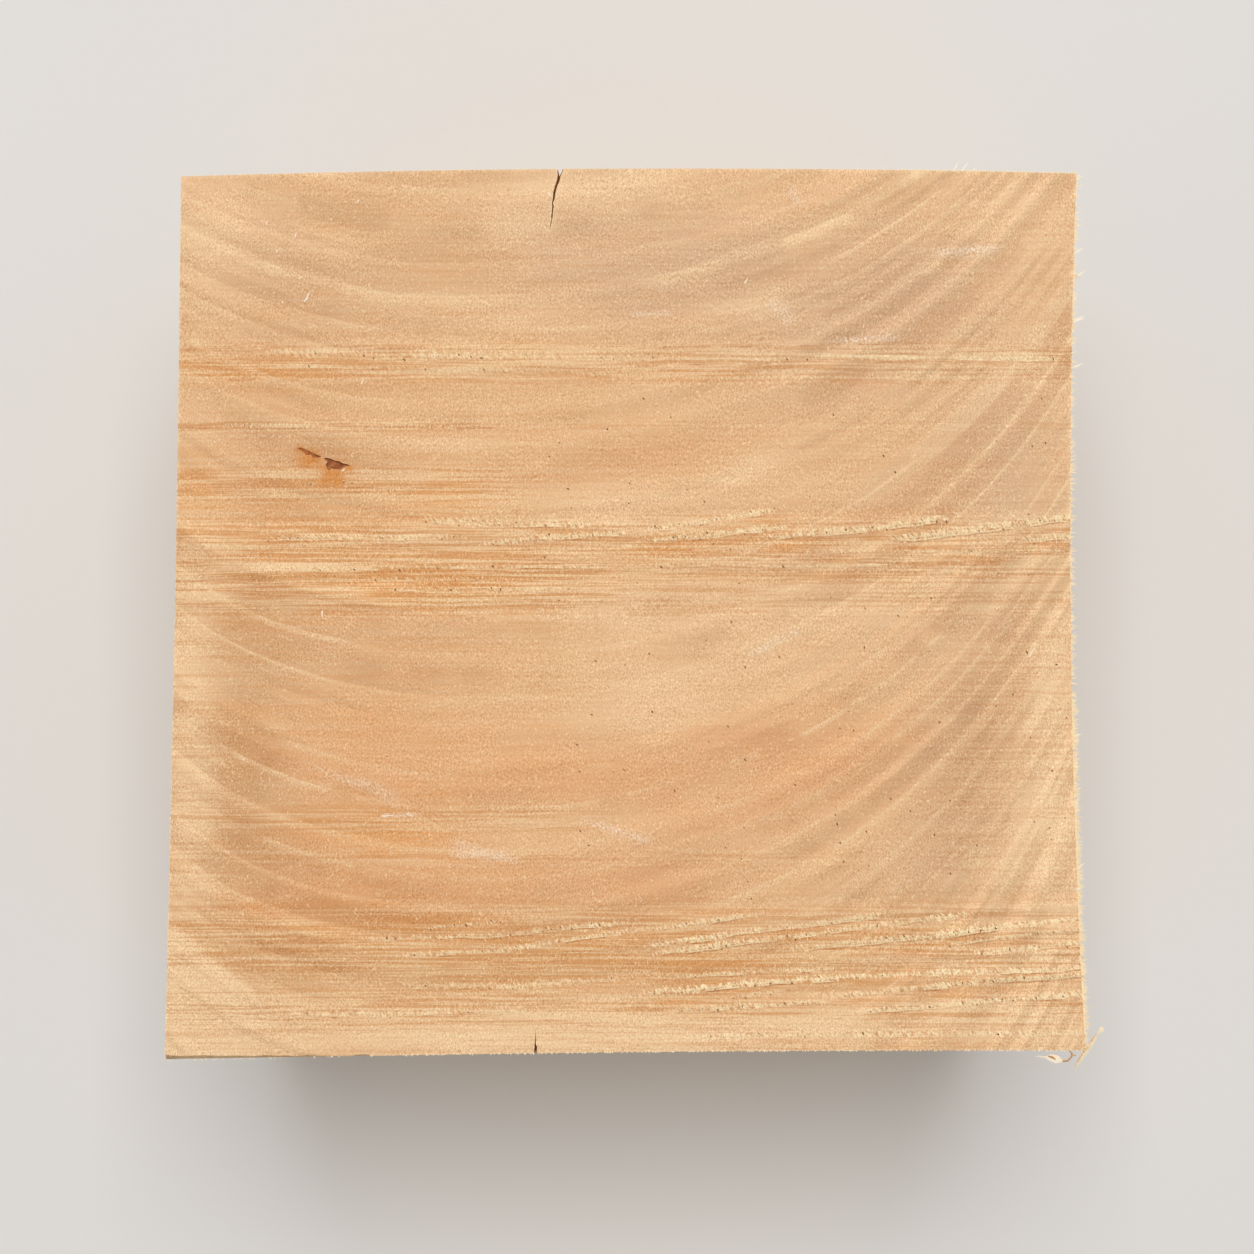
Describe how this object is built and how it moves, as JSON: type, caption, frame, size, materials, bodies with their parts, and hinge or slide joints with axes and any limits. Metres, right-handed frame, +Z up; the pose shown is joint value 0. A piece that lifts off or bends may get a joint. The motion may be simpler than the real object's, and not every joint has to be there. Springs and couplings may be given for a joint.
{
  "type": "basswood block",
  "caption": "Rough-sawn block of pale basswood standing on its sawn end, with curved growth rings, saw marks and drying checks on top, for carving or bench use.",
  "frame": {"origin": "middle of the base, under the middle of the block's box", "axes": "+X to the right and +Y to the back as the picture shows the top, +Z up the grain, out of the sawn top"},
  "size_m": [0.1018, 0.0986, 0.1],
  "materials": {
    "basswood": "rough sawn, unsealed"
  },
  "bodies": {
    "root": {"block": "basswood"}
  },
  "joints": []
}
